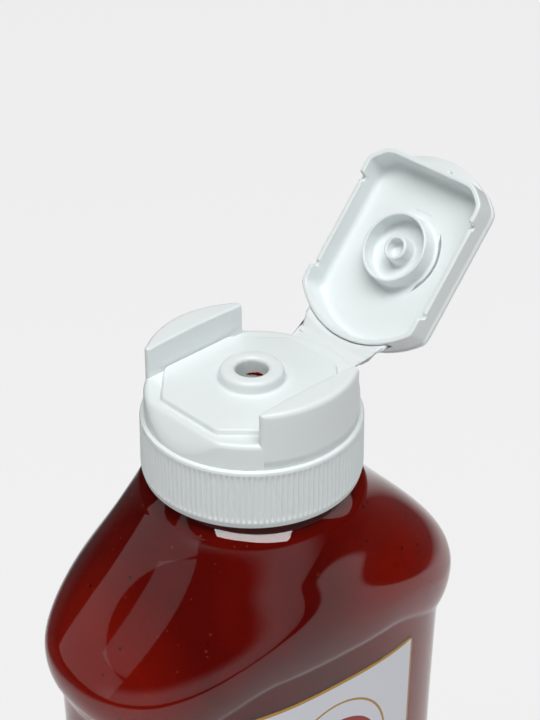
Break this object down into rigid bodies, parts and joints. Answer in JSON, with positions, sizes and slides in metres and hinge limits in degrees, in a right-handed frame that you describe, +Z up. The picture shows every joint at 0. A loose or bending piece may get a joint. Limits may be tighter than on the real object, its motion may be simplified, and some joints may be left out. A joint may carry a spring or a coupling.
{
  "type": "ketchup bottle",
  "caption": "Oblong clear squeeze bottle of ketchup with a waisted label panel and a ribbed white screw cap whose flip-up lid stands open on a living hinge.",
  "frame": {"origin": "centre of the flat base, on the surface it stands on", "axes": "+Z up along the neck; the front label faces -Y; the lid's hinge is towards +X, turned 5.5 degrees towards +Y with the cap"},
  "size_m": [0.0953, 0.0534, 0.2035],
  "materials": {
    "clear_pet": "clear gloss",
    "ketchup": "wet gloss",
    "label_film": "satin printed film",
    "white_pp": "moulded semi-gloss"
  },
  "bodies": {
    "bottle": {"bottle": "clear_pet", "ketchup": "ketchup", "label_front": "label_film", "label_back": "label_film", "cap_base": "white_pp"},
    "lid": {"lid": "white_pp"}
  },
  "joints": [
    {"name": "lid_hinge", "type": "hinge", "parent": "bottle", "child": "lid", "pos_m": [0.021, 0.00202, 0.1747], "axis": [-0.0958, 0.9954, 0], "range_deg": [-131, 49]}
  ]
}
